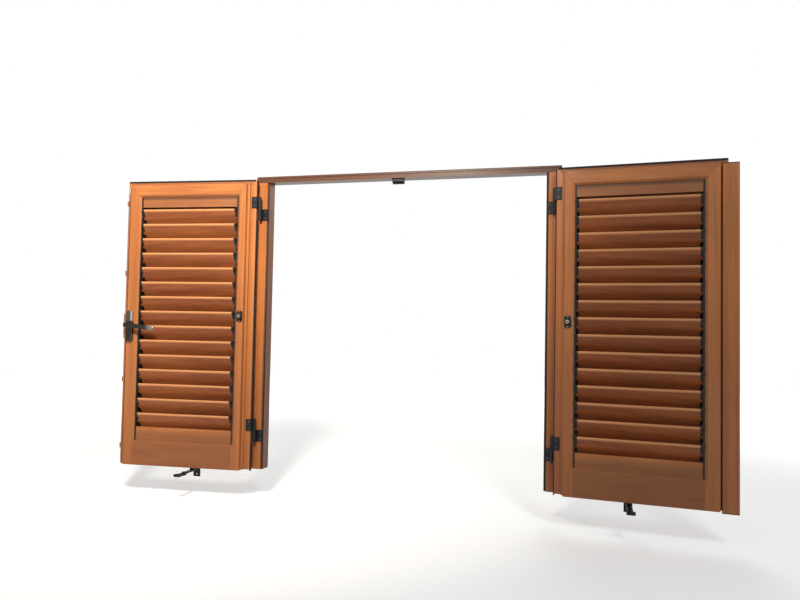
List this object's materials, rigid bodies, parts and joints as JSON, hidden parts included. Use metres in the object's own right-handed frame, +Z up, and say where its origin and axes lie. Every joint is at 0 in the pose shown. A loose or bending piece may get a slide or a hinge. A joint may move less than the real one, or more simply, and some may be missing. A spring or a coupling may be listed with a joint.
{
  "type": "louvred shutters",
  "caption": "Pair of brown wood-look aluminium louvred shutters with turning slats, hinged in a slim frame and folded back.",
  "frame": {"origin": "middle of the head's two fixing holes, on the head's top face", "axes": "+X along the wall, +Y into the wall, +Z up"},
  "size_m": [2.3596, 0.2097, 1.248],
  "materials": {
    "frame_coat": "satin, brown wood-look powder coat",
    "leaf_coat": "satin, brown wood-look powder coat",
    "slat_coat": "satin, brown wood-look powder coat",
    "black_plastic": "matt",
    "black_metal": "satin",
    "grey_case": "satin",
    "steel": "zinc plated",
    "seal_rubber": "matt"
  },
  "bodies": {
    "frame": {"head_rail": "frame_coat", "left_jamb": "frame_coat", "right_jamb": "frame_coat", "frame_hinges": "black_metal", "head_keeper": "black_plastic", "holdback_arms": "black_metal"},
    "left_leaf": {"left_hinge_stile": "leaf_coat", "left_free_stile": "leaf_coat", "left_top_rail": "leaf_coat", "left_bottom_rail": "leaf_coat", "left_pivot_strips": "black_plastic", "left_seals": "seal_rubber", "left_hinges": "black_metal", "left_handle_case": "grey_case"},
    "left_slat_01": {"left_slat_01": "slat_coat"},
    "left_slat_02": {"left_slat_02": "slat_coat"},
    "left_slat_03": {"left_slat_03": "slat_coat"},
    "left_slat_04": {"left_slat_04": "slat_coat"},
    "left_slat_05": {"left_slat_05": "slat_coat"},
    "left_slat_06": {"left_slat_06": "slat_coat"},
    "left_slat_07": {"left_slat_07": "slat_coat"},
    "left_slat_08": {"left_slat_08": "slat_coat"},
    "left_slat_09": {"left_slat_09": "slat_coat"},
    "left_slat_10": {"left_slat_10": "slat_coat"},
    "left_slat_11": {"left_slat_11": "slat_coat"},
    "left_slat_12": {"left_slat_12": "slat_coat"},
    "left_slat_13": {"left_slat_13": "slat_coat"},
    "left_slat_14": {"left_slat_14": "slat_coat"},
    "left_slat_15": {"left_slat_15": "slat_coat"},
    "left_knob": {"left_knob": "black_plastic"},
    "left_catch": {"left_catch": "black_metal"},
    "right_leaf": {"right_hinge_stile": "leaf_coat", "right_free_stile": "leaf_coat", "right_top_rail": "leaf_coat", "right_bottom_rail": "leaf_coat", "right_pivot_strips": "black_plastic", "right_seals": "seal_rubber", "right_hinges": "black_metal", "right_astragal": "leaf_coat", "right_astragal_caps": "black_plastic"},
    "right_slat_01": {"right_slat_01": "slat_coat"},
    "right_slat_02": {"right_slat_02": "slat_coat"},
    "right_slat_03": {"right_slat_03": "slat_coat"},
    "right_slat_04": {"right_slat_04": "slat_coat"},
    "right_slat_05": {"right_slat_05": "slat_coat"},
    "right_slat_06": {"right_slat_06": "slat_coat"},
    "right_slat_07": {"right_slat_07": "slat_coat"},
    "right_slat_08": {"right_slat_08": "slat_coat"},
    "right_slat_09": {"right_slat_09": "slat_coat"},
    "right_slat_10": {"right_slat_10": "slat_coat"},
    "right_slat_11": {"right_slat_11": "slat_coat"},
    "right_slat_12": {"right_slat_12": "slat_coat"},
    "right_slat_13": {"right_slat_13": "slat_coat"},
    "right_slat_14": {"right_slat_14": "slat_coat"},
    "right_slat_15": {"right_slat_15": "slat_coat"},
    "right_knob": {"right_knob": "black_plastic"},
    "right_catch": {"right_catch": "black_metal"},
    "left_lever": {"left_lever": "black_metal"},
    "left_upper_rod": {"left_upper_rod": "steel"},
    "left_lower_rod": {"left_lower_rod": "steel"}
  },
  "joints": [
    {"name": "left_leaf_swing", "type": "hinge", "parent": "frame", "child": "left_leaf", "pos_m": [-0.59, -0.047, -0.6], "axis": [0, 0, 1], "range_deg": [0, 175]},
    {"name": "right_leaf_swing", "type": "hinge", "parent": "frame", "child": "right_leaf", "pos_m": [0.59, -0.047, -0.6], "axis": [0, 0, -1], "range_deg": [0, 175]},
    {"name": "left_slat_01_tilt", "type": "hinge", "parent": "left_leaf", "child": "left_slat_01", "pos_m": [-0.87739, -0.09523, -0.176], "axis": [0.9962, 0.0872, 0], "range_deg": [-21, 57]},
    {"name": "left_slat_02_tilt", "type": "hinge", "parent": "left_leaf", "child": "left_slat_02", "pos_m": [-0.87739, -0.09523, -0.236], "axis": [0.9962, 0.0872, 0], "range_deg": [-21, 57]},
    {"name": "left_slat_03_tilt", "type": "hinge", "parent": "left_leaf", "child": "left_slat_03", "pos_m": [-0.87739, -0.09523, -0.296], "axis": [0.9962, 0.0872, 0], "range_deg": [-21, 57]},
    {"name": "left_slat_04_tilt", "type": "hinge", "parent": "left_leaf", "child": "left_slat_04", "pos_m": [-0.87739, -0.09523, -0.356], "axis": [0.9962, 0.0872, 0], "range_deg": [-21, 57]},
    {"name": "left_slat_05_tilt", "type": "hinge", "parent": "left_leaf", "child": "left_slat_05", "pos_m": [-0.87739, -0.09523, -0.416], "axis": [0.9962, 0.0872, 0], "range_deg": [-21, 57]},
    {"name": "left_slat_06_tilt", "type": "hinge", "parent": "left_leaf", "child": "left_slat_06", "pos_m": [-0.87739, -0.09523, -0.476], "axis": [0.9962, 0.0872, 0], "range_deg": [-21, 57]},
    {"name": "left_slat_07_tilt", "type": "hinge", "parent": "left_leaf", "child": "left_slat_07", "pos_m": [-0.87739, -0.09523, -0.536], "axis": [0.9962, 0.0872, 0], "range_deg": [-21, 57]},
    {"name": "left_slat_08_tilt", "type": "hinge", "parent": "left_leaf", "child": "left_slat_08", "pos_m": [-0.87739, -0.09523, -0.596], "axis": [0.9962, 0.0872, 0], "range_deg": [-21, 57]},
    {"name": "left_slat_09_tilt", "type": "hinge", "parent": "left_leaf", "child": "left_slat_09", "pos_m": [-0.87739, -0.09523, -0.656], "axis": [0.9962, 0.0872, 0], "range_deg": [-21, 57]},
    {"name": "left_slat_10_tilt", "type": "hinge", "parent": "left_leaf", "child": "left_slat_10", "pos_m": [-0.87739, -0.09523, -0.716], "axis": [0.9962, 0.0872, 0], "range_deg": [-21, 57]},
    {"name": "left_slat_11_tilt", "type": "hinge", "parent": "left_leaf", "child": "left_slat_11", "pos_m": [-0.87739, -0.09523, -0.776], "axis": [0.9962, 0.0872, 0], "range_deg": [-21, 57]},
    {"name": "left_slat_12_tilt", "type": "hinge", "parent": "left_leaf", "child": "left_slat_12", "pos_m": [-0.87739, -0.09523, -0.836], "axis": [0.9962, 0.0872, 0], "range_deg": [-21, 57]},
    {"name": "left_slat_13_tilt", "type": "hinge", "parent": "left_leaf", "child": "left_slat_13", "pos_m": [-0.87739, -0.09523, -0.896], "axis": [0.9962, 0.0872, 0], "range_deg": [-21, 57]},
    {"name": "left_slat_14_tilt", "type": "hinge", "parent": "left_leaf", "child": "left_slat_14", "pos_m": [-0.87739, -0.09523, -0.956], "axis": [0.9962, 0.0872, 0], "range_deg": [-21, 57]},
    {"name": "left_slat_15_tilt", "type": "hinge", "parent": "left_leaf", "child": "left_slat_15", "pos_m": [-0.87739, -0.09523, -1.016], "axis": [0.9962, 0.0872, 0], "range_deg": [-21, 57]},
    {"name": "left_knob_turn", "type": "hinge", "parent": "left_leaf", "child": "left_knob", "pos_m": [-0.64178, -0.09771, -0.58], "axis": [-0.0872, 0.9962, 0], "range_deg": [-50, 126]},
    {"name": "right_slat_01_tilt", "type": "hinge", "parent": "right_leaf", "child": "right_slat_01", "pos_m": [0.87739, -0.09523, -0.176], "axis": [0.9962, -0.0872, 0], "range_deg": [-21, 57]},
    {"name": "right_slat_02_tilt", "type": "hinge", "parent": "right_leaf", "child": "right_slat_02", "pos_m": [0.87739, -0.09523, -0.236], "axis": [0.9962, -0.0872, 0], "range_deg": [-21, 57]},
    {"name": "right_slat_03_tilt", "type": "hinge", "parent": "right_leaf", "child": "right_slat_03", "pos_m": [0.87739, -0.09523, -0.296], "axis": [0.9962, -0.0872, 0], "range_deg": [-21, 57]},
    {"name": "right_slat_04_tilt", "type": "hinge", "parent": "right_leaf", "child": "right_slat_04", "pos_m": [0.87739, -0.09523, -0.356], "axis": [0.9962, -0.0872, 0], "range_deg": [-21, 57]},
    {"name": "right_slat_05_tilt", "type": "hinge", "parent": "right_leaf", "child": "right_slat_05", "pos_m": [0.87739, -0.09523, -0.416], "axis": [0.9962, -0.0872, 0], "range_deg": [-21, 57]},
    {"name": "right_slat_06_tilt", "type": "hinge", "parent": "right_leaf", "child": "right_slat_06", "pos_m": [0.87739, -0.09523, -0.476], "axis": [0.9962, -0.0872, 0], "range_deg": [-21, 57]},
    {"name": "right_slat_07_tilt", "type": "hinge", "parent": "right_leaf", "child": "right_slat_07", "pos_m": [0.87739, -0.09523, -0.536], "axis": [0.9962, -0.0872, 0], "range_deg": [-21, 57]},
    {"name": "right_slat_08_tilt", "type": "hinge", "parent": "right_leaf", "child": "right_slat_08", "pos_m": [0.87739, -0.09523, -0.596], "axis": [0.9962, -0.0872, 0], "range_deg": [-21, 57]},
    {"name": "right_slat_09_tilt", "type": "hinge", "parent": "right_leaf", "child": "right_slat_09", "pos_m": [0.87739, -0.09523, -0.656], "axis": [0.9962, -0.0872, 0], "range_deg": [-21, 57]},
    {"name": "right_slat_10_tilt", "type": "hinge", "parent": "right_leaf", "child": "right_slat_10", "pos_m": [0.87739, -0.09523, -0.716], "axis": [0.9962, -0.0872, 0], "range_deg": [-21, 57]},
    {"name": "right_slat_11_tilt", "type": "hinge", "parent": "right_leaf", "child": "right_slat_11", "pos_m": [0.87739, -0.09523, -0.776], "axis": [0.9962, -0.0872, 0], "range_deg": [-21, 57]},
    {"name": "right_slat_12_tilt", "type": "hinge", "parent": "right_leaf", "child": "right_slat_12", "pos_m": [0.87739, -0.09523, -0.836], "axis": [0.9962, -0.0872, 0], "range_deg": [-21, 57]},
    {"name": "right_slat_13_tilt", "type": "hinge", "parent": "right_leaf", "child": "right_slat_13", "pos_m": [0.87739, -0.09523, -0.896], "axis": [0.9962, -0.0872, 0], "range_deg": [-21, 57]},
    {"name": "right_slat_14_tilt", "type": "hinge", "parent": "right_leaf", "child": "right_slat_14", "pos_m": [0.87739, -0.09523, -0.956], "axis": [0.9962, -0.0872, 0], "range_deg": [-21, 57]},
    {"name": "right_slat_15_tilt", "type": "hinge", "parent": "right_leaf", "child": "right_slat_15", "pos_m": [0.87739, -0.09523, -1.016], "axis": [0.9962, -0.0872, 0], "range_deg": [-21, 57]},
    {"name": "right_knob_turn", "type": "hinge", "parent": "right_leaf", "child": "right_knob", "pos_m": [0.64178, -0.09771, -0.58], "axis": [0.0872, 0.9962, 0], "range_deg": [-50, 126]},
    {"name": "left_lever_turn", "type": "hinge", "parent": "left_leaf", "child": "left_lever", "pos_m": [-1.11896, -0.13945, -0.624], "axis": [-0.0872, 0.9962, 0], "range_deg": [0, 82]},
    {"name": "left_upper_rod_slide", "type": "slide", "parent": "left_leaf", "child": "left_upper_rod", "axis": [0, 0, 1], "range_m": [0, 0.016]},
    {"name": "left_lower_rod_slide", "type": "slide", "parent": "left_leaf", "child": "left_lower_rod", "axis": [0, 0, -1], "range_m": [0, 0.016]},
    {"name": "left_catch_turn", "type": "hinge", "parent": "frame", "child": "left_catch", "pos_m": [-0.85399, -0.12273, -1.216], "axis": [-1, 0, 0], "range_deg": [0, 90]},
    {"name": "right_catch_turn", "type": "hinge", "parent": "frame", "child": "right_catch", "pos_m": [0.85399, -0.12273, -1.216], "axis": [-1, 0, 0], "range_deg": [0, 90]}
  ],
  "couplings": [
    {"joint": "left_slat_02_tilt", "follows": "left_slat_01_tilt", "ratio": 1},
    {"joint": "left_slat_03_tilt", "follows": "left_slat_01_tilt", "ratio": 1},
    {"joint": "left_slat_04_tilt", "follows": "left_slat_01_tilt", "ratio": 1},
    {"joint": "left_slat_05_tilt", "follows": "left_slat_01_tilt", "ratio": 1},
    {"joint": "left_slat_06_tilt", "follows": "left_slat_01_tilt", "ratio": 1},
    {"joint": "left_slat_07_tilt", "follows": "left_slat_01_tilt", "ratio": 1},
    {"joint": "left_slat_08_tilt", "follows": "left_slat_01_tilt", "ratio": 1},
    {"joint": "left_slat_09_tilt", "follows": "left_slat_01_tilt", "ratio": 1},
    {"joint": "left_slat_10_tilt", "follows": "left_slat_01_tilt", "ratio": 1},
    {"joint": "left_slat_11_tilt", "follows": "left_slat_01_tilt", "ratio": 1},
    {"joint": "left_slat_12_tilt", "follows": "left_slat_01_tilt", "ratio": 1},
    {"joint": "left_slat_13_tilt", "follows": "left_slat_01_tilt", "ratio": 1},
    {"joint": "left_slat_14_tilt", "follows": "left_slat_01_tilt", "ratio": 1},
    {"joint": "left_slat_15_tilt", "follows": "left_slat_01_tilt", "ratio": 1},
    {"joint": "left_knob_turn", "follows": "left_slat_01_tilt", "ratio": 2},
    {"joint": "right_slat_02_tilt", "follows": "right_slat_01_tilt", "ratio": 1},
    {"joint": "right_slat_03_tilt", "follows": "right_slat_01_tilt", "ratio": 1},
    {"joint": "right_slat_04_tilt", "follows": "right_slat_01_tilt", "ratio": 1},
    {"joint": "right_slat_05_tilt", "follows": "right_slat_01_tilt", "ratio": 1},
    {"joint": "right_slat_06_tilt", "follows": "right_slat_01_tilt", "ratio": 1},
    {"joint": "right_slat_07_tilt", "follows": "right_slat_01_tilt", "ratio": 1},
    {"joint": "right_slat_08_tilt", "follows": "right_slat_01_tilt", "ratio": 1},
    {"joint": "right_slat_09_tilt", "follows": "right_slat_01_tilt", "ratio": 1},
    {"joint": "right_slat_10_tilt", "follows": "right_slat_01_tilt", "ratio": 1},
    {"joint": "right_slat_11_tilt", "follows": "right_slat_01_tilt", "ratio": 1},
    {"joint": "right_slat_12_tilt", "follows": "right_slat_01_tilt", "ratio": 1},
    {"joint": "right_slat_13_tilt", "follows": "right_slat_01_tilt", "ratio": 1},
    {"joint": "right_slat_14_tilt", "follows": "right_slat_01_tilt", "ratio": 1},
    {"joint": "right_slat_15_tilt", "follows": "right_slat_01_tilt", "ratio": 1},
    {"joint": "right_knob_turn", "follows": "right_slat_01_tilt", "ratio": 2},
    {"joint": "left_upper_rod_slide", "follows": "left_lever_turn", "m_per_rad": 0.01118},
    {"joint": "left_lower_rod_slide", "follows": "left_lever_turn", "m_per_rad": 0.01118}
  ]
}
